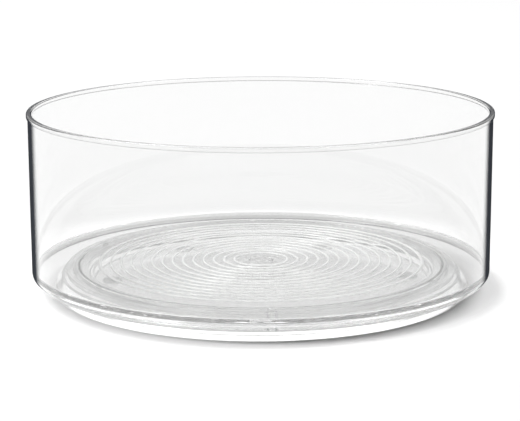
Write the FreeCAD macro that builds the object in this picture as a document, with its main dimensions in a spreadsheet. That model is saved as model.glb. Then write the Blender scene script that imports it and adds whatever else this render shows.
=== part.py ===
"""Clear lazy susan: a deep round tub that turns on a ring of balls over a low round base.

Millimetres. +Z is up, and the origin is the centre of the circle that the turntable stands on.
Each sub-part is one object of the document, and one file in parts/.
"""

import FreeCAD, Part
import math
import os
import Sketcher

BALL_COUNT = 6
FOOT_COUNT = 6
RIDGE_COUNT = 13

DIMENSIONS = {
    # tub
    "rim_radius": 140.0,
    "tub_height": 110.0,
    "bead_height": 2.9,
    "bead_overhang": 0.8,
    "wall_thickness": 2.4,
    "floor_level": 16.3,
    "floor_thickness": 2.3,
    "floor_fillet": 0.8,
    "skirt_level": 8.6,
    "skirt_round": 5.0,
    "first_ridge_radius": 16.2,
    "ridge_pitch": 6.3,
    "ridge_round": 0.9,
    "ridge_height": 0.5,
    "border_radius": 98.4,
    "border_round": 1.5,
    # ball bearing
    "track_radius": 112.0,
    "ball_radius": 3.0,
    "ball_level": 11.5,
    "ball_phase": 33.0,
    "race_clearance": 0.05,
    "pocket_clearance": 0.1,
    "cage_width": 13.2,
    "cage_thickness": 2.6,
    # base
    "base_radius": 125.6,
    "base_thickness": 2.4,
    "base_underside": 0.6,
    "flange_level": 4.4,
    "deck_radius": 121.0,
    "deck_level": 9.9,
    "well_radius": 102.2,
    "well_level": 3.6,
    "well_thickness": 2.0,
    "hub_radius": 15.0,
    "hub_level": 13.2,
    # pivot
    "pin_radius": 7.0,
    "pin_clearance": 0.05,
    "pin_level": 4.3,
    "web_level": 4.4,
    "washer_radius": 10.6,
    "washer_bore": 2.2,
    "washer_thickness": 1.2,
    "washer_room": 0.7,
    "screw_radius": 2.0,
    "screw_reach": 7.4,
    "screw_point": 1.0,
    "screw_hole_depth": 8.8,
    "head_radius": 4.0,
    "head_height": 2.1,
    "recess_length": 4.2,
    "recess_width": 0.9,
    "recess_depth": 1.2,
    # feet
    "foot_circle": 91.0,
    "foot_radius": 6.0,
    "foot_height": 1.9,
    # small rounds
    "small_round": 0.4,
    "edge_round": 0.6,
    "corner_round": 1.0,
}


class Size:
    """A size that follows the sheet: its number now, and the expression that gives it."""

    def __init__(self, number, text):
        self.number = number
        self.text = text

    def combine(self, sign, other, number):
        return Size(number, f"({self.text} {sign} {as_size(other).text})")

    def __add__(self, other):
        return self.combine("+", other, self.number + as_size(other).number)

    def __sub__(self, other):
        return self.combine("-", other, self.number - as_size(other).number)

    def __mul__(self, other):
        return self.combine("*", other, self.number * as_size(other).number)

    def __truediv__(self, other):
        return self.combine("/", other, self.number / as_size(other).number)


def as_size(value):
    return value if isinstance(value, Size) else Size(value, str(value))


def square_root(value):
    return Size(math.sqrt(value.number), f"sqrt({value.text})")


doc = FreeCAD.newDocument("lazy_susan")


def make_sheet():
    """Fills the sheet with the driving dimensions and returns each one by name."""
    sheet = doc.addObject("Spreadsheet::Sheet", "dimensions")
    for row, (name, number) in enumerate(DIMENSIONS.items(), start=1):
        sheet.set(f"A{row}", name)
        sheet.set(f"B{row}", str(number))
        sheet.setAlias(f"B{row}", name)
    doc.recompute()
    return {name: Size(number, f"dimensions.{name}") for name, number in DIMENSIONS.items()}


size = make_sheet()
sub_parts = []


def add_body(name):
    """An empty body for one sub-part."""
    body = doc.addObject("PartDesign::Body", name)
    body.Label = name
    sub_parts.append(body)
    return body


def origin_feature(body, role):
    return next(feature for feature in body.Origin.OriginFeatures if feature.Role == role)


def add_sketch(body, name, plane="XZ_Plane", level=None):
    """A sketch on one of the body's own planes, raised by a level if one is given."""
    sketch = body.newObject("Sketcher::SketchObject", name)
    sketch.AttachmentSupport = [(origin_feature(body, plane), "")]
    sketch.MapMode = "FlatFace"
    if level is not None:
        sketch.setExpression("AttachmentOffset.Base.z", level.text)
    return sketch


def bind(sketch, constraint, value):
    """Adds a constraint whose value follows the sheet."""
    index = sketch.addConstraint(constraint)
    sketch.setExpression(f"Constraints[{index}]", value.text)


def hold_point(sketch, edge, end, across, up):
    """Holds one point of an edge at a place measured from the sketch's origin."""
    for value, kind, axis in ((across, "DistanceX", -2), (up, "DistanceY", -1)):
        if value.number == 0:
            sketch.addConstraint(Sketcher.Constraint("PointOnObject", edge, end, axis))
        else:
            distance = Sketcher.Constraint(kind, -1, 1, edge, end, value.number)
            bind(sketch, distance, value)


def arc_between(start, end, radius):
    """An arc from start to end, turning left, with its centre on the left of the two."""
    chord = end - start
    left = FreeCAD.Vector(-chord.y, chord.x, 0).normalize()
    rise = math.sqrt(radius**2 - (chord.Length / 2) ** 2)
    centre = start + chord * 0.5 + left * rise
    angles = [math.atan2(point.y - centre.y, point.x - centre.x) for point in (start, end)]
    circle = Part.Circle(centre, FreeCAD.Vector(0, 0, 1), radius)
    return Part.ArcOfCircle(circle, angles[0], angles[1])


def draw_outline(sketch, corners, arcs=None):
    """A closed outline through corners, anticlockwise. arcs gives the radius of the edges that are arcs."""
    arcs = arcs or {}
    corners = [(as_size(across), as_size(up)) for across, up in corners]
    points = [FreeCAD.Vector(across.number, up.number, 0) for across, up in corners]
    count = len(points)
    for edge in range(count):
        start, end = points[edge], points[(edge + 1) % count]
        if edge in arcs:
            sketch.addGeometry(arc_between(start, end, arcs[edge].number), False)
        else:
            sketch.addGeometry(Part.LineSegment(start, end), False)
    for edge in range(count):
        following = (edge + 1) % count
        sketch.addConstraint(Sketcher.Constraint("Coincident", edge, 2, following, 1))
    for edge, (across, up) in enumerate(corners):
        hold_point(sketch, edge, 1, across, up)
    for edge, radius in arcs.items():
        bind(sketch, Sketcher.Constraint("Radius", edge, radius.number), radius)


def draw_circle(sketch, across, up, radius):
    """A circle held by its centre and radius."""
    across, up = as_size(across), as_size(up)
    centre = FreeCAD.Vector(across.number, up.number, 0)
    circle = Part.Circle(centre, FreeCAD.Vector(0, 0, 1), radius.number)
    edge = sketch.addGeometry(circle, False)
    hold_point(sketch, edge, 3, across, up)
    bind(sketch, Sketcher.Constraint("Radius", edge, radius.number), radius)


def turn(body, sketch, name, cut=False):
    """Turns a sketch once round the body's vertical axis, to add material or to cut it."""
    before = 0 if not body.Tip else body.Tip.Shape.Volume
    feature = body.newObject("PartDesign::Groove" if cut else "PartDesign::Revolution", name)
    feature.Profile = sketch
    feature.ReferenceAxis = (origin_feature(body, "Z_Axis"), [""])
    feature.Angle = 360
    doc.recompute()
    check_change(name, before, feature.Shape.Volume, cut)
    return feature


def check_change(name, before, after, cut):
    """Stops if a feature added or cut nothing."""
    if (after >= before) if cut else (after <= before):
        raise RuntimeError(f"{name} changed nothing: {before} to {after} mm3")


def repeat_round(body, feature, name, count):
    """Repeats a cut evenly round the vertical axis."""
    before = feature.Shape.Volume
    pattern = body.newObject("PartDesign::PolarPattern", name)
    pattern.Originals = [feature]
    pattern.Axis = (origin_feature(body, "Z_Axis"), [""])
    pattern.Angle = 360
    pattern.Occurrences = count
    body.Tip = pattern
    doc.recompute()
    check_change(name, before, pattern.Shape.Volume, cut=True)
    return pattern


def round_edges(body, name, radius, rings):
    """Rounds the circular edges at the given radii and levels."""
    rounded = body.Tip
    shape = rounded.Shape
    found = []
    for ring_radius, level in rings:
        ring_radius, level = as_size(ring_radius).number, as_size(level).number
        matches = [
            f"Edge{index}"
            for index, edge in enumerate(shape.Edges, start=1)
            if isinstance(edge.Curve, Part.Circle)
            and abs(edge.Curve.Radius - ring_radius) < 1e-4
            and abs(edge.Curve.Center.z - level) < 1e-4
            and math.hypot(edge.Curve.Center.x, edge.Curve.Center.y) < 1e-4
        ]
        if not matches:
            raise RuntimeError(f"{name}: no edge of radius {ring_radius} at level {level}")
        found += matches
    fillet = body.newObject("PartDesign::Fillet", name)
    fillet.Base = (rounded, found)
    fillet.setExpression("Radius", radius.text)
    body.Tip = fillet
    doc.recompute()
    return fillet


# Sizes that several sub-parts share.
wall_radius = size["rim_radius"] - size["bead_overhang"]
wall_inside = wall_radius - size["wall_thickness"]
floor_underside = size["floor_level"] - size["floor_thickness"]
race_round = size["ball_radius"] + size["race_clearance"]
foot_phase = size["ball_phase"] - 180 / FOOT_COUNT
well_underside = size["well_level"] - size["well_thickness"]


def cut_race(body, name):
    """A ball race: a round groove in the body, on the circle that the balls' centres run on."""
    sketch = add_sketch(body, f"{name}_sketch")
    draw_circle(sketch, size["track_radius"], size["ball_level"], race_round)
    turn(body, sketch, name, cut=True)


def make_tub():
    """Wall, rim bead, ridged floor, skirt, upper race and the pin that the tub turns on."""
    body = add_body("tub")
    bead_level = size["tub_height"] - size["bead_height"]
    skirt_top = size["skirt_level"] + size["skirt_round"]
    inset = size["skirt_round"] - size["wall_thickness"]
    skirt_drop = square_root(size["skirt_round"] * size["skirt_round"] - inset * inset)
    hole_end = size["pin_level"] + size["screw_hole_depth"]
    shell = add_sketch(body, "tub_profile")
    draw_outline(
        shell,
        [
            (0, hole_end),
            (size["screw_radius"], hole_end),
            (size["screw_radius"], size["pin_level"]),
            (size["pin_radius"], size["pin_level"]),
            (size["pin_radius"], floor_underside),
            (wall_inside, floor_underside),
            (wall_inside, skirt_top - skirt_drop),
            (wall_radius, skirt_top),
            (wall_radius, bead_level),
            (size["rim_radius"], bead_level),
            (size["rim_radius"], size["tub_height"]),
            (wall_inside, size["tub_height"]),
            (wall_inside, size["floor_level"]),
            (0, size["floor_level"]),
        ],
        arcs={6: size["skirt_round"]},
    )
    turn(body, shell, "tub_shell")
    cut_race(body, "upper_race")
    round_edges(
        body,
        "bead_top_round",
        size["corner_round"],
        [(size["rim_radius"], size["tub_height"]), (wall_inside, size["tub_height"])],
    )
    round_edges(
        body,
        "tub_edge_round",
        size["edge_round"],
        [
            (size["rim_radius"], bead_level),
            (size["pin_radius"], floor_underside),
            (size["pin_radius"], size["pin_level"]),
        ],
    )
    round_edges(body, "skirt_root_round", size["small_round"], [(wall_inside, floor_underside)])
    round_edges(body, "floor_corner_round", size["floor_fillet"], [(wall_inside, size["floor_level"])])
    add_ridges(body)


def add_ridges(body):
    """Thin round ridges on the floor, and a wider one round them all."""
    ridges = add_sketch(body, "ridge_sketch")
    sunk = size["floor_level"] + size["ridge_height"] - size["ridge_round"]
    for number in range(RIDGE_COUNT):
        across = size["first_ridge_radius"] + size["ridge_pitch"] * number
        draw_circle(ridges, across, sunk, size["ridge_round"])
    border_sunk = size["floor_level"] + size["ridge_height"] - size["border_round"]
    draw_circle(ridges, size["border_radius"], border_sunk, size["border_round"])
    turn(body, ridges, "ridges")


def make_base():
    """Foot flange, sloped side, ball deck with the lower race, low well and the pivot hub."""
    body = add_body("base")
    thickness = size["base_thickness"]
    hub_bore = size["pin_radius"] + size["pin_clearance"]
    washer_seat = size["washer_radius"] + size["washer_room"]
    flange_inside = size["base_radius"] - thickness
    deck_underside = size["deck_level"] - thickness
    # The side's inner face runs parallel to its outer face, one thickness in.
    slope_run = size["base_radius"] - size["deck_radius"]
    slope_rise = size["deck_level"] - size["flange_level"]
    slope_length = square_root(slope_run * slope_run + slope_rise * slope_rise)
    slope_drop = thickness * (slope_length - slope_rise) / slope_run
    slope_shift = thickness * (slope_length - slope_run) / slope_rise
    profile = add_sketch(body, "base_profile")
    draw_outline(
        profile,
        [
            (hub_bore, size["web_level"]),
            (washer_seat, size["web_level"]),
            (washer_seat, well_underside),
            (size["well_radius"] + thickness, well_underside),
            (size["well_radius"] + thickness, deck_underside),
            (size["deck_radius"] - slope_shift, deck_underside),
            (flange_inside, size["flange_level"] - slope_drop),
            (flange_inside, size["base_underside"]),
            (size["base_radius"], size["base_underside"]),
            (size["base_radius"], size["flange_level"]),
            (size["deck_radius"], size["deck_level"]),
            (size["well_radius"], size["deck_level"]),
            (size["well_radius"], size["well_level"]),
            (size["hub_radius"], size["well_level"]),
            (size["hub_radius"], size["hub_level"]),
            (hub_bore, size["hub_level"]),
        ],
    )
    turn(body, profile, "base_shell")
    cut_race(body, "lower_race")
    round_edges(
        body,
        "base_corner_round",
        size["corner_round"],
        [
            (size["deck_radius"], size["deck_level"]),
            (size["well_radius"], size["well_level"]),
            (size["hub_radius"], size["well_level"]),
        ],
    )
    round_edges(
        body,
        "base_edge_round",
        size["edge_round"],
        [
            (size["base_radius"], size["flange_level"]),
            (size["base_radius"], size["base_underside"]),
            (size["well_radius"], size["deck_level"]),
            (size["hub_radius"], size["hub_level"]),
            (size["well_radius"] + thickness, well_underside),
        ],
    )
    seat = add_sketch(body, "foot_seat_sketch", plane="XY_Plane")
    draw_circle(seat, size["foot_circle"], 0, size["foot_radius"])
    before = body.Tip.Shape.Volume
    pocket = body.newObject("PartDesign::Pocket", "foot_seat")
    pocket.Profile = seat
    pocket.Reversed = True
    pocket.setExpression("Length", size["foot_height"].text)
    doc.recompute()
    check_change("foot_seat", before, pocket.Shape.Volume, cut=True)
    repeat_round(body, pocket, "foot_seats", FOOT_COUNT)
    body.setExpression("Placement.Rotation.Angle", foot_phase.text)


def make_cage():
    """A flat ring with a round pocket for each ball, closed in a little above and below it."""
    body = add_body("ball_cage")
    inside = size["track_radius"] - size["cage_width"] / 2
    outside = size["track_radius"] + size["cage_width"] / 2
    bottom = size["ball_level"] - size["cage_thickness"] / 2
    top = size["ball_level"] + size["cage_thickness"] / 2
    ring = add_sketch(body, "cage_profile")
    corners = [(inside, bottom), (outside, bottom), (outside, top), (inside, top)]
    draw_outline(ring, corners)
    turn(body, ring, "cage_ring")
    round_edges(body, "cage_edge_round", size["small_round"], corners)
    before = body.Tip.Shape.Volume
    pocket = body.newObject("PartDesign::SubtractiveSphere", "ball_pocket")
    pocket.AttachmentSupport = [(origin_feature(body, "XY_Plane"), "")]
    pocket.MapMode = "FlatFace"
    pocket.setExpression("Radius", (size["ball_radius"] + size["pocket_clearance"]).text)
    pocket.setExpression("AttachmentOffset.Base.x", size["track_radius"].text)
    pocket.setExpression("AttachmentOffset.Base.z", size["ball_level"].text)
    doc.recompute()
    check_change("ball_pocket", before, pocket.Shape.Volume, cut=True)
    repeat_round(body, pocket, "ball_pockets", BALL_COUNT)
    body.setExpression("Placement.Rotation.Angle", size["ball_phase"].text)


def place_on_circle(item, radius, level, angle):
    """Puts a sub-part on a circle round the vertical axis, at an angle in degrees."""
    item.setExpression("Placement.Base.x", f"{radius.text} * cos({angle.text} * 1 deg)")
    item.setExpression("Placement.Base.y", f"{radius.text} * sin({angle.text} * 1 deg)")
    item.setExpression("Placement.Base.z", level.text)


def make_balls():
    """The balls, evenly spaced on the track's circle."""
    for number in range(BALL_COUNT):
        ball = doc.addObject("Part::Sphere", f"bearing_ball_{number + 1}")
        ball.Label = ball.Name
        ball.setExpression("Radius", size["ball_radius"].text)
        angle = size["ball_phase"] + 360 / BALL_COUNT * number
        place_on_circle(ball, size["track_radius"], size["ball_level"], angle)
        sub_parts.append(ball)


def make_washer():
    """A plain clear washer between the hub's web and the screw's head."""
    body = add_body("pivot_washer")
    sketch = add_sketch(body, "washer_sketch", "XY_Plane", size["pin_level"] - size["washer_thickness"])
    draw_circle(sketch, 0, 0, size["washer_radius"])
    draw_circle(sketch, 0, 0, size["washer_bore"])
    pad = body.newObject("PartDesign::Pad", "washer_pad")
    pad.Profile = sketch
    pad.setExpression("Length", size["washer_thickness"].text)
    doc.recompute()


def make_screw():
    """A pan-head screw with a cross recess, driven up into the tub's pin."""
    body = add_body("pivot_screw")
    head_top = size["pin_level"] - size["washer_thickness"]
    head_bottom = head_top - size["head_height"]
    shank_end = size["pin_level"] + size["screw_reach"]
    profile = add_sketch(body, "screw_profile")
    draw_outline(
        profile,
        [
            (0, head_bottom),
            (size["head_radius"], head_bottom),
            (size["head_radius"], head_top),
            (size["screw_radius"], head_top),
            (size["screw_radius"], shank_end),
            (size["screw_radius"] / 3, shank_end + size["screw_point"]),
            (0, shank_end + size["screw_point"]),
        ],
    )
    turn(body, profile, "screw_body")
    round_edges(body, "head_round", size["corner_round"], [(size["head_radius"], head_bottom)])
    for name, turned in (("recess_across", False), ("recess_along", True)):
        cut_recess(body, name, head_bottom, turned)
    body.setExpression("Placement.Rotation.Angle", size["ball_phase"].text)


def cut_recess(body, name, head_bottom, turned):
    """One arm pair of the cross recess in the screw's head."""
    long_half = size["recess_length"] / 2
    short_half = size["recess_width"] / 2
    across, along = (short_half, long_half) if turned else (long_half, short_half)
    sketch = add_sketch(body, f"{name}_sketch", "XY_Plane", head_bottom)
    zero = as_size(0)
    draw_outline(
        sketch,
        [
            (zero - across, zero - along),
            (across, zero - along),
            (across, along),
            (zero - across, along),
        ],
    )
    before = body.Tip.Shape.Volume
    pocket = body.newObject("PartDesign::Pocket", name)
    pocket.Profile = sketch
    pocket.Reversed = True
    pocket.setExpression("Length", size["recess_depth"].text)
    doc.recompute()
    check_change(name, before, pocket.Shape.Volume, cut=True)


def make_feet():
    """Round soft pads in shallow seats under the well, midway between the balls."""
    for number in range(FOOT_COUNT):
        body = add_body(f"foot_{number + 1}")
        sketch = add_sketch(body, f"foot_{number + 1}_sketch", plane="XY_Plane")
        draw_circle(sketch, 0, 0, size["foot_radius"])
        pad = body.newObject("PartDesign::Pad", f"foot_{number + 1}_pad")
        pad.Profile = sketch
        pad.setExpression("Length", size["foot_height"].text)
        doc.recompute()
        round_edges(body, f"foot_{number + 1}_round", size["small_round"], [(size["foot_radius"], 0)])
        angle = foot_phase + 360 / FOOT_COUNT * number
        place_on_circle(body, size["foot_circle"], as_size(0), angle)


def check_document():
    """Stops on any failed object or empty, broken or split sub-part."""
    doc.recompute()
    for item in doc.Objects:
        if "Invalid" in item.State or "Error" in item.State:
            raise RuntimeError(f"{item.Name} failed: {item.State}")
    for item in sub_parts:
        if item.Shape.isNull() or not item.Shape.isValid() or len(item.Shape.Solids) != 1:
            raise RuntimeError(f"{item.Label} is not one good solid")


def write_files():
    """One file for each sub-part, named after it."""
    os.makedirs("parts", exist_ok=True)
    for item in sub_parts:
        item.Shape.exportStep(f"parts/{item.Label}.step")
        print(item.Label, round(item.Shape.Volume, 1), "mm3")


make_tub()
make_base()
make_cage()
make_balls()
make_washer()
make_screw()
make_feet()
check_document()
write_files()
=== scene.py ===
"""Clear lazy susan: the looks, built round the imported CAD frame. Metres, +Z up, table at z = 0."""

import math

import bpy
import numpy as np
from mathutils import Matrix, Vector


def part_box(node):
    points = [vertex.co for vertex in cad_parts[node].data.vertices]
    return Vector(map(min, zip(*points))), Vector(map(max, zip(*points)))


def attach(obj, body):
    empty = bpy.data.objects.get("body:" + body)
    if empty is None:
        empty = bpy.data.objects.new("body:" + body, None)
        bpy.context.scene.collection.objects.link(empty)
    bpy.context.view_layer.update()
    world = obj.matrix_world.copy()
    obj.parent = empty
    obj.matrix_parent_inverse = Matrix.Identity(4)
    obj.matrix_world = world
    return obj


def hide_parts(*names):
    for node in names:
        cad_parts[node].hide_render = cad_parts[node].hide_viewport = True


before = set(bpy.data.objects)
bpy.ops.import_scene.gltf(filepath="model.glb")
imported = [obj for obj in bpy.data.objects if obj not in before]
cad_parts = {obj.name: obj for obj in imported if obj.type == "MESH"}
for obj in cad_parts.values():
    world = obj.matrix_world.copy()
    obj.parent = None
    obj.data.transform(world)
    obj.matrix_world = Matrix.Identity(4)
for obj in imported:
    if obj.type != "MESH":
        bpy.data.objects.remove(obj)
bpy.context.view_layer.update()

MM = 0.001
SEGMENTS = 432  # steps round the axis in the tub and the base
SMALL_SEGMENTS = 96  # and in a ball or a foot

# Driving sizes in mm, the same as the CAD model's except where a note says otherwise.
RIM = 140.0
TOP = 110.0
BEAD_FOOT = 107.1
WALL_OUTSIDE = 139.2
WALL_INSIDE = 136.8
FLOOR = 16.3
FLOOR_UNDERSIDE = 14.0
SKIRT_LEVEL = 8.6
SKIRT_ROUND = 5.0
FIRST_RIDGE = 16.2
RIDGE_PITCH = 6.3
RIDGES = 13
RIDGE_HEIGHT = 0.5
BORDER = 98.4
TRACK = 112.0
BALL_LEVEL = 11.5
BALL_RADIUS = 3.0
RACE = 3.05
PIN = 7.0
PIN_END = 4.3
PIN_HOLE = 2.04  # the screw's radius of 2.0 and a gap, as at HAIR
PIN_HOLE_END = 13.1
BORE = 7.05
HUB = 15.0
HUB_LEVEL = 13.2
HUB_RECESS = 11.3
WEB_LEVEL = 4.4
WELL = 102.2
WELL_LEVEL = 3.6
WELL_UNDERSIDE = 1.6
DECK = 121.0
DECK_LEVEL = 9.9
BASE_RIM = 125.6
BASE_THICKNESS = 2.4
BASE_UNDERSIDE = 0.6
FLANGE_LEVEL = 4.4


# ---------------------------------------------------------------- turned pieces

def rounded(corners, steps=7):
    """A closed outline in mm with its corners rounded. Each corner is (r, z) or (r, z, rounding)."""
    points = []
    count = len(corners)
    for i, corner in enumerate(corners):
        here = np.array(corner[:2], float)
        if len(corner) < 3:
            points.append(here)
            continue
        before = np.array(corners[i - 1][:2], float) - here
        after = np.array(corners[(i + 1) % count][:2], float) - here
        before /= np.linalg.norm(before)
        after /= np.linalg.norm(after)
        half = math.acos(float(np.clip(before @ after, -1, 1))) / 2
        radius = corner[2]
        middle = before + after
        centre = here + middle / np.linalg.norm(middle) * radius / math.sin(half)
        start = here + before * radius / math.tan(half) - centre
        end = here + after * radius / math.tan(half) - centre
        sweep = math.pi - 2 * half
        side = math.copysign(1, start[0] * end[1] - start[1] * end[0])
        for step in range(steps + 1):
            turn = side * sweep * step / steps
            c, s = math.cos(turn), math.sin(turn)
            points.append(centre + (start[0] * c - start[1] * s, start[0] * s + start[1] * c))
    return points


def arc(centre, radius, first, last, steps):
    """Points of an arc in mm, by its end angles in degrees."""
    angles = np.radians(np.linspace(first, last, steps + 1))
    return [(centre[0] + radius * math.cos(a), centre[1] + radius * math.sin(a)) for a in angles]


SMOOTH = math.cos(math.radians(28))  # a smaller turn than this is part of a round
LONG = 3  # an edge this many times its neighbour's length is straight, and keeps its own normal


def edge_normals(points):
    """Outward normals at both ends of each edge of an anticlockwise outline, shared where it is smooth."""
    points = np.array(points, float)
    run = np.roll(points, -1, 0) - points
    length = np.linalg.norm(run, axis=1)
    normal = np.stack([run[:, 1], -run[:, 0]], 1) / length[:, None]
    starts, ends = normal.copy(), normal.copy()
    for i in range(len(points)):
        j = i - 1
        if normal[i] @ normal[j] < SMOOTH:
            continue
        if length[i] > LONG * length[j]:
            shared = normal[i]
        elif length[j] > LONG * length[i]:
            shared = normal[j]
        else:
            shared = normal[i] + normal[j]
            shared /= np.linalg.norm(shared)
        starts[i] = ends[j] = shared
    return starts, ends


def turned(name, outline, segments=SEGMENTS):
    """A solid of revolution about +Z from a closed anticlockwise outline in mm, with exact normals."""
    closest = 1e-4
    points = [p for i, p in enumerate(outline) if np.linalg.norm(np.subtract(p, outline[i - 1])) > closest]
    starts, ends = edge_normals(points)
    angles = np.arange(segments) * 2 * math.pi / segments
    cos, sin = np.cos(angles), np.sin(angles)
    vertices, ring_of = [], []
    for r, z in points:
        if r < 1e-6:
            ring_of.append([len(vertices)] * segments)
            vertices.append((0.0, 0.0, z * MM))
        else:
            first = len(vertices)
            ring_of.append(list(range(first, first + segments)))
            vertices += [(r * MM * c, r * MM * s, z * MM) for c, s in zip(cos, sin)]
    faces, normals = [], []
    for i, ring in enumerate(ring_of):
        following = ring_of[(i + 1) % len(points)]
        starts_on_axis = ring[0] == ring[1]
        ends_on_axis = following[0] == following[1]
        if starts_on_axis and ends_on_axis:
            continue
        for a in range(segments):
            b = (a + 1) % segments
            corners = [(ring[a], starts[i], a), (ring[b], starts[i], b)]
            corners += [(following[b], ends[i], b), (following[a], ends[i], a)]
            if starts_on_axis:
                corners = [corners[0]] + corners[2:]
            elif ends_on_axis:
                corners = corners[:3]
            faces.append([c[0] for c in corners])
            normals += [(n[0] * cos[at], n[0] * sin[at], n[1]) for _, n, at in corners]
    mesh = bpy.data.meshes.new(name)
    mesh.from_pydata(vertices, [], faces)
    mesh.shade_smooth()
    mesh.normals_split_custom_set(normals)
    mesh.update()
    piece = bpy.data.objects.new(name, mesh)
    bpy.context.scene.collection.objects.link(piece)
    return piece


def stand_for(piece, node, body, material):
    """Gives a turned piece its material, and puts it in the place of a CAD node on its body."""
    piece.data.materials.append(material)
    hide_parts(node)
    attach(piece, body)
    return piece


# ---------------------------------------------------------------- materials

def new_material(name):
    material = bpy.data.materials.new(name)
    material.use_nodes = True
    return material, material.node_tree.nodes, material.node_tree.links


def map_range(nodes, low, high, low_result, high_result, smooth=False):
    node = nodes.new("ShaderNodeMapRange")
    values = {"From Min": low, "From Max": high, "To Min": low_result, "To Max": high_result}
    for name, value in values.items():
        node.inputs[name].default_value = value
    if smooth:
        node.interpolation_type = "SMOOTHSTEP"
    return node


def noise(nodes, links, scale, detail=2.0, stretch=(1, 1, 1)):
    """Noise in the piece's own metres, stretched along the axes if asked."""
    where = nodes.new("ShaderNodeTexCoord")
    spread = nodes.new("ShaderNodeMapping")
    spread.inputs["Scale"].default_value = stretch
    pattern = nodes.new("ShaderNodeTexNoise")
    pattern.inputs["Scale"].default_value = scale
    pattern.inputs["Detail"].default_value = detail
    links.new(where.outputs["Object"], spread.inputs["Vector"])
    links.new(spread.outputs[0], pattern.inputs["Vector"])
    return pattern.outputs["Fac"]


def vary_roughness(nodes, links, shader, scale, low, high):
    spread = map_range(nodes, 0.35, 0.65, low, high)
    links.new(noise(nodes, links, scale), spread.inputs["Value"])
    links.new(spread.outputs[0], shader.inputs["Roughness"])


def add_bump(nodes, links, shader, height, depth):
    bump = nodes.new("ShaderNodeBump")
    bump.inputs["Distance"].default_value = depth
    links.new(height, bump.inputs["Height"])
    links.new(bump.outputs[0], shader.inputs["Normal"])


def clear_plastic(name, clarity=0.95, rough=(0.0, 0.012), wave=0.000006):
    """Clear moulded plastic: polished and faintly uneven."""
    material, nodes, links = new_material(name)
    shader = nodes["Principled BSDF"]
    shader.inputs["Base Color"].default_value = (clarity, clarity + 0.001, clarity, 1)
    shader.inputs["IOR"].default_value = 1.53
    shader.inputs["Transmission Weight"].default_value = 1.0
    vary_roughness(nodes, links, shader, 35.0, *rough)
    add_bump(nodes, links, shader, noise(nodes, links, 28.0, 1.0, (1, 1, 0.35)), wave)
    return material


def painted_edge_shade_plastic(name, first, last):
    """The same plastic, mixed with a near-black shader where it is seen edge on.

    The mix follows the viewing angle, so this darkness is painted and doesn't come from refraction.
    first and last say how nearly edge on.
    """
    material = clear_plastic(name)
    nodes, links = material.node_tree.nodes, material.node_tree.links
    weight = nodes.new("ShaderNodeLayerWeight")
    weight.inputs["Blend"].default_value = 0.5
    edge = map_range(nodes, first, last, 0.0, 1.0, smooth=True)
    links.new(weight.outputs["Facing"], edge.inputs["Value"])
    dark = nodes.new("ShaderNodeBsdfPrincipled")
    dark.inputs["Base Color"].default_value = (0.04, 0.044, 0.052, 1)
    dark.inputs["Roughness"].default_value = 0.3
    dark.inputs["Specular IOR Level"].default_value = 0.0
    mix = nodes.new("ShaderNodeMixShader")
    links.new(edge.outputs[0], mix.inputs[0])
    links.new(nodes["Principled BSDF"].outputs[0], mix.inputs[1])
    links.new(dark.outputs[0], mix.inputs[2])
    links.new(mix.outputs[0], nodes["Material Output"].inputs["Surface"])
    return material


def satin_plastic(name):
    """The ridges on the floor: a mostly white surface that lets only a little light through."""
    material, nodes, links = new_material(name)
    shader = nodes["Principled BSDF"]
    shader.inputs["Base Color"].default_value = (0.97, 0.975, 0.97, 1)
    shader.inputs["IOR"].default_value = 1.53
    shader.inputs["Transmission Weight"].default_value = 0.12
    vary_roughness(nodes, links, shader, 300.0, 0.04, 0.10)
    add_bump(nodes, links, shader, noise(nodes, links, 900.0), 0.00001)
    return material


def milky(name, colour, clear, rough, grain, depth):
    """A cloudy material that lets some light through: one colour that varies a little, with fine grain."""
    material, nodes, links = new_material(name)
    shader = nodes["Principled BSDF"]
    shader.inputs["IOR"].default_value = 1.5
    shader.inputs["Transmission Weight"].default_value = clear
    pattern = noise(nodes, links, grain, 4.0)
    shade = nodes.new("ShaderNodeMix")
    shade.data_type = "RGBA"
    shade.inputs["A"].default_value = (*[c * 0.93 for c in colour], 1)
    shade.inputs["B"].default_value = (*colour, 1)
    links.new(pattern, shade.inputs["Factor"])
    links.new(shade.outputs["Result"], shader.inputs["Base Color"])
    vary_roughness(nodes, links, shader, grain, *rough)
    add_bump(nodes, links, shader, pattern, depth)
    return material


TUB_PLASTIC = clear_plastic("moulded_tub_plastic")
# The wall and the bead carry painted shade: a near-black mix where they are seen edge on.
WALL_PLASTIC = painted_edge_shade_plastic("moulded_wall_plastic", 0.735, 0.84)
BEAD_PLASTIC = painted_edge_shade_plastic("moulded_bead_plastic", 0.81, 0.88)
RIDGE_PLASTIC = satin_plastic("moulded_ridge_plastic")
BASE_PLASTIC = clear_plastic("moulded_base_plastic", clarity=0.985)
CAGE_PLASTIC = clear_plastic("moulded_cage_plastic", clarity=0.985, rough=(0.03, 0.08))
BALL_PLASTIC = clear_plastic("moulded_ball_plastic", wave=0.0)
FASTENER_PLASTIC = clear_plastic("moulded_fastener_plastic", clarity=0.985, rough=(0.0, 0.02), wave=0.0)
RUBBER = milky("soft_clear_rubber", (0.95, 0.955, 0.95), 0.85, (0.15, 0.3), 500.0, 0.00002)


# ---------------------------------------------------------------- tub

def race_reach(level):
    """The angle in degrees, from level with the balls, at which the race meets a flat face at this height."""
    return math.degrees(math.asin(abs(level - BALL_LEVEL) / RACE))


def ridge(radius, half_width, steps=8):
    """A low round-topped ridge on the tub's floor, from its outer side to its inner side."""
    bend = (half_width**2 + RIDGE_HEIGHT**2) / (2 * RIDGE_HEIGHT)
    reach = math.degrees(math.asin(half_width / bend))
    return arc((radius, FLOOR + RIDGE_HEIGHT - bend), bend, 90 - reach, 90 + reach, steps)


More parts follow.
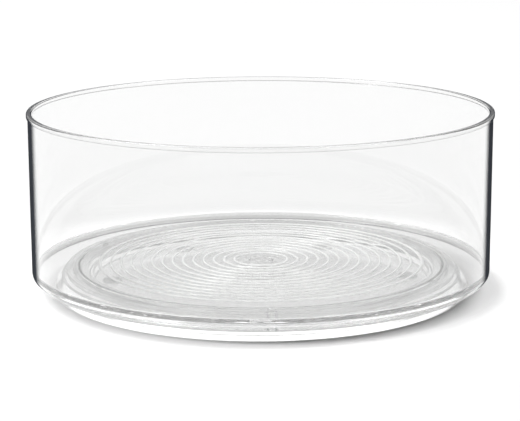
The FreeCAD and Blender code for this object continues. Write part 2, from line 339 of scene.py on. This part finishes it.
def tub_outline():
    """Pin and underside, ball race, skirt, wall and bead, then the floor's ridges from the border inwards."""
    outline = rounded([(0.0, PIN_HOLE_END), (PIN_HOLE, PIN_HOLE_END), (PIN_HOLE, PIN_END),
                       (PIN, PIN_END, 0.6), (PIN, FLOOR_UNDERSIDE, 0.6), (TRACK, FLOOR_UNDERSIDE)])[:-1]
    reach = race_reach(FLOOR_UNDERSIDE)
    outline += arc((TRACK, BALL_LEVEL), RACE, 180 - reach, reach, 12)
    skirt = (WALL_OUTSIDE - SKIRT_ROUND, SKIRT_LEVEL + SKIRT_ROUND)
    outline += rounded([(TRACK, FLOOR_UNDERSIDE), (WALL_INSIDE, FLOOR_UNDERSIDE, 0.4),
                        (WALL_INSIDE, 9.4)])[1:]
    skirt_reach = math.degrees(math.acos((WALL_INSIDE - skirt[0]) / SKIRT_ROUND))
    outline += arc(skirt, SKIRT_ROUND, -skirt_reach, 0, 10)
    outline += rounded([(WALL_OUTSIDE, skirt[1]), (WALL_OUTSIDE, BEAD_FOOT), (RIM, BEAD_FOOT, 0.6),
                        (RIM, TOP, 1.0), (WALL_INSIDE, TOP, 1.0), (WALL_INSIDE, FLOOR, 0.8),
                        (TRACK, FLOOR)])[1:-1]
    outline += ridge(BORDER, 1.12)
    for number in reversed(range(RIDGES)):
        outline += ridge(FIRST_RIDGE + RIDGE_PITCH * number, 0.806)
    outline += [(0.0, FLOOR)]
    return outline


def finish_faces(piece, material, wanted):
    """Gives a second material to the faces whose middle, as (r, z) in mm, is wanted."""
    piece.data.materials.append(material)
    slot = len(piece.data.materials) - 1
    for face in piece.data.polygons:
        if wanted(math.hypot(face.center.x, face.center.y) / MM, face.center.z / MM):
            face.material_index = slot


WALL_MIDDLE = (WALL_INSIDE + WALL_OUTSIDE) / 2
WALL_FOOT = 12.0
BEAD_TOP = TOP - 1.0
tub = stand_for(turned("clear_tub", tub_outline()), "tub", "tub", TUB_PLASTIC)
finish_faces(tub, WALL_PLASTIC, lambda r, z: r > WALL_MIDDLE and WALL_FOOT < z < BEAD_TOP)
finish_faces(tub, BEAD_PLASTIC, lambda r, z: z >= BEAD_TOP)
finish_faces(tub, RIDGE_PLASTIC, lambda r, z: r < BORDER + 1.6 and z > FLOOR + 0.02)


# ---------------------------------------------------------------- base

def base_outline():
    """Hub recess, well underside, hollow and flange, then back over the deck, race, well and hub."""
    slope_top, slope_foot = 119.88, 3.52  # ends of the slope's inner face, one wall's thickness in
    hollow_inside, hollow_outside = WELL + BASE_THICKNESS, BASE_RIM - BASE_THICKNESS
    deck_underside = DECK_LEVEL - BASE_THICKNESS
    outline = rounded([(BORE, WEB_LEVEL), (HUB_RECESS, WEB_LEVEL), (HUB_RECESS, WELL_UNDERSIDE),
                       (hollow_inside, WELL_UNDERSIDE, 0.6), (hollow_inside, deck_underside, 0.3),
                       (slope_top, deck_underside, 0.3), (hollow_outside, slope_foot, 0.3),
                       (hollow_outside, BASE_UNDERSIDE), (BASE_RIM, BASE_UNDERSIDE, 0.6),
                       (BASE_RIM, FLANGE_LEVEL, 0.6), (DECK, DECK_LEVEL, 1.0)])
    reach = race_reach(DECK_LEVEL)
    outline += arc((TRACK, BALL_LEVEL), RACE, -reach, reach - 180, 14)
    outline += rounded([(hollow_inside, DECK_LEVEL), (WELL, DECK_LEVEL, 0.6), (WELL, WELL_LEVEL, 1.0),
                        (HUB, WELL_LEVEL, 1.0), (HUB, HUB_LEVEL, 0.6), (BORE, HUB_LEVEL)])[1:]
    return outline


stand_for(turned("clear_base", base_outline()), "base", "base", BASE_PLASTIC)


# ---------------------------------------------------------------- washer

HAIR = 0.03  # a gap in mm between clear faces that touch, so that light meets them one at a time


def washer_outline():
    inside, outside = 2.2, 10.6
    bottom, top = (corner.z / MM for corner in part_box("pivot_washer"))
    return [(inside, bottom + HAIR), (outside, bottom + HAIR), (outside, top - HAIR), (inside, top - HAIR)]


stand_for(turned("clear_washer", washer_outline(), 192), "pivot_washer", "tub", FASTENER_PLASTIC)


# ---------------------------------------------------------------- balls

for number in range(1, 7):
    node = f"bearing_ball_{number}"
    low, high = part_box(node)
    ball = turned(f"clear_ball_{number}", arc((0, 0), BALL_RADIUS, -90, 90, 48), SMALL_SEGMENTS)
    ball.data.transform(Matrix.Translation((low + high) / 2))
    stand_for(ball, node, node, BALL_PLASTIC)


# ---------------------------------------------------------------- cage and screw, as the CAD has them

def paint(node, material):
    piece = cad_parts[node]
    piece.data.materials.clear()
    piece.data.materials.append(material)


paint("ball_cage", CAGE_PLASTIC)
paint("pivot_screw", FASTENER_PLASTIC)


# ---------------------------------------------------------------- feet

def foot_outline():
    """A foot 1.57 mm high. The CAD's is 1.9 mm high, in a seat that the turned base doesn't have."""
    radius, top = 6.0, WELL_UNDERSIDE - HAIR
    return rounded([(0.0, 0.0), (radius, 0.0, 0.4), (radius, top), (0.0, top)])


for number in range(1, 7):
    low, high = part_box(f"foot_{number}")
    foot = turned(f"soft_foot_{number}", foot_outline(), SMALL_SEGMENTS)
    foot.data.transform(Matrix.Translation(((low.x + high.x) / 2, (low.y + high.y) / 2, 0)))
    stand_for(foot, f"foot_{number}", "base", RUBBER)


# ---------------------------------------------------------------- stage, light and camera

def make_floor(albedo, glow):
    """The pale table: white, with painted light and painted shadow as glow in round steps, in metres, which
    may be off the axis.
    """
    mesh = bpy.data.meshes.new("floor")
    half, level = 6.0, -0.0002
    corners = [(x * half, y * half, level) for x, y in ((-1, -1), (1, -1), (1, 1), (-1, 1))]
    mesh.from_pydata(corners, [], [(0, 1, 2, 3)])
    floor = bpy.data.objects.new("floor", mesh)
    bpy.context.scene.collection.objects.link(floor)
    white, nodes, links = new_material("floor_painted_light_and_shade")
    shader = nodes["Principled BSDF"]
    shader.inputs["Base Color"].default_value = (albedo, albedo, albedo, 1)
    shader.inputs["Roughness"].default_value = 0.9
    shader.inputs["Specular IOR Level"].default_value = 0.0
    shader.inputs["Emission Color"].default_value = (1, 1, 1, 1)
    where = nodes.new("ShaderNodeTexCoord")
    total = None
    for middle, start, end, step in glow:
        reach = nodes.new("ShaderNodeVectorMath")
        reach.operation = "DISTANCE"
        reach.inputs[1].default_value = (*middle, 0)
        links.new(where.outputs["Object"], reach.inputs[0])
        fade = map_range(nodes, start, end, 0.0, step, smooth=True)
        links.new(reach.outputs["Value"], fade.inputs["Value"])
        if total is None:
            total = fade.outputs[0]
            continue
        add = nodes.new("ShaderNodeMath")
        links.new(total, add.inputs[0])
        links.new(fade.outputs[0], add.inputs[1])
        total = add.outputs[0]
    links.new(total, shader.inputs["Emission Strength"])
    mesh.materials.append(white)


def softbox(name, place, radiance):
    """A square softbox that faces the tub. radiance is how bright its face looks."""
    size = 4.5
    light = bpy.data.lights.new(name, "AREA")
    light.shape = "SQUARE"
    light.size = size
    light.energy = radiance * math.pi * size**2
    lamp = bpy.data.objects.new(name, light)
    bpy.context.scene.collection.objects.link(lamp)
    lamp.location = place
    lamp.rotation_euler = (Vector((0, 0, 0.05)) - Vector(place)).to_track_quat("-Z", "Y").to_euler()


def make_world(front, back, top):
    """A pale studio: brightness by direction, from the front round to the back, and overhead."""
    world = bpy.data.worlds.new("studio")
    bpy.context.scene.world = world
    world.use_nodes = True
    nodes, links = world.node_tree.nodes, world.node_tree.links
    where = nodes.new("ShaderNodeTexCoord")
    split = nodes.new("ShaderNodeSeparateXYZ")
    links.new(where.outputs["Generated"], split.inputs[0])
    across = map_range(nodes, 0.5, 0.85, front, back)
    links.new(split.outputs["Y"], across.inputs["Value"])
    rise = map_range(nodes, 0.5, 0.9, 0.0, top)
    links.new(split.outputs["Z"], rise.inputs["Value"])
    total = nodes.new("ShaderNodeMath")
    links.new(across.outputs[0], total.inputs[0])
    links.new(rise.outputs[0], total.inputs[1])
    links.new(total.outputs[0], nodes["Background"].inputs["Strength"])
    nodes["Background"].inputs["Color"].default_value = (1, 1, 1, 1)


def make_camera():
    """The photograph's angle: a long lens, a little above the rim. Distances are in rim radii."""
    rim = RIM * MM
    elevation, roll = 0.21246, -0.00328
    target = Vector((-0.00293, 0.0, 0.33197)) * rim
    distance = 7.3656 * rim
    away = Vector((0.0, -math.cos(elevation), math.sin(elevation)))
    right = Vector((1.0, 0.0, 0.0))
    up = right.cross(-away)
    turned_right = right * math.cos(roll) + up * math.sin(roll)
    turned_up = up * math.cos(roll) - right * math.sin(roll)
    camera = bpy.data.objects.new("camera", bpy.data.cameras.new("camera"))
    bpy.context.scene.collection.objects.link(camera)
    camera.data.sensor_width = 36.0
    camera.data.lens = 117.0554
    camera.data.clip_end = 50
    turn = Matrix((turned_right, turned_up, away)).transposed().to_4x4()
    camera.matrix_world = Matrix.Translation(target + away * distance) @ turn
    bpy.context.scene.camera = camera


# The steps also paint light under the tub: a glowing disc and ring that brighten the base and floor seen
# through the plastic.
# The shadow round the base is drawn by these steps, set to match a brightness. No light casts it.
# Each step of the glow: its middle (x, y), where it starts, where it ends, and how much it adds.
AXIS = (0.0, 0.0)
SHADE = (0.016, 0.004)  # off the axis, which paints a shadow on the +X side of the table in every view
GLOW = [
    (AXIS, -0.02, -0.01, 0.80),
    (AXIS, 0.100, 0.106, 0.25),
    (AXIS, 0.1205, 0.1225, -1.05),
    (AXIS, 0.1245, 0.140, 0.20),
    (SHADE, 0.124, 0.140, 0.38),
    (AXIS, 0.17, 0.24, -0.34),
]
make_floor(0.66, GLOW)
make_world(front=0.5, back=0.65, top=0.2)
softbox("left_softbox", (-4.5, 0.0, 7.0), 5.9)
softbox("right_softbox", (4.5, 0.3, 7.0), 2.4)
make_camera()

scene = bpy.context.scene
scene.view_settings.view_transform = "Standard"
scene.cycles.max_bounces = 128
scene.cycles.transmission_bounces = 128
scene.cycles.glossy_bounces = 64
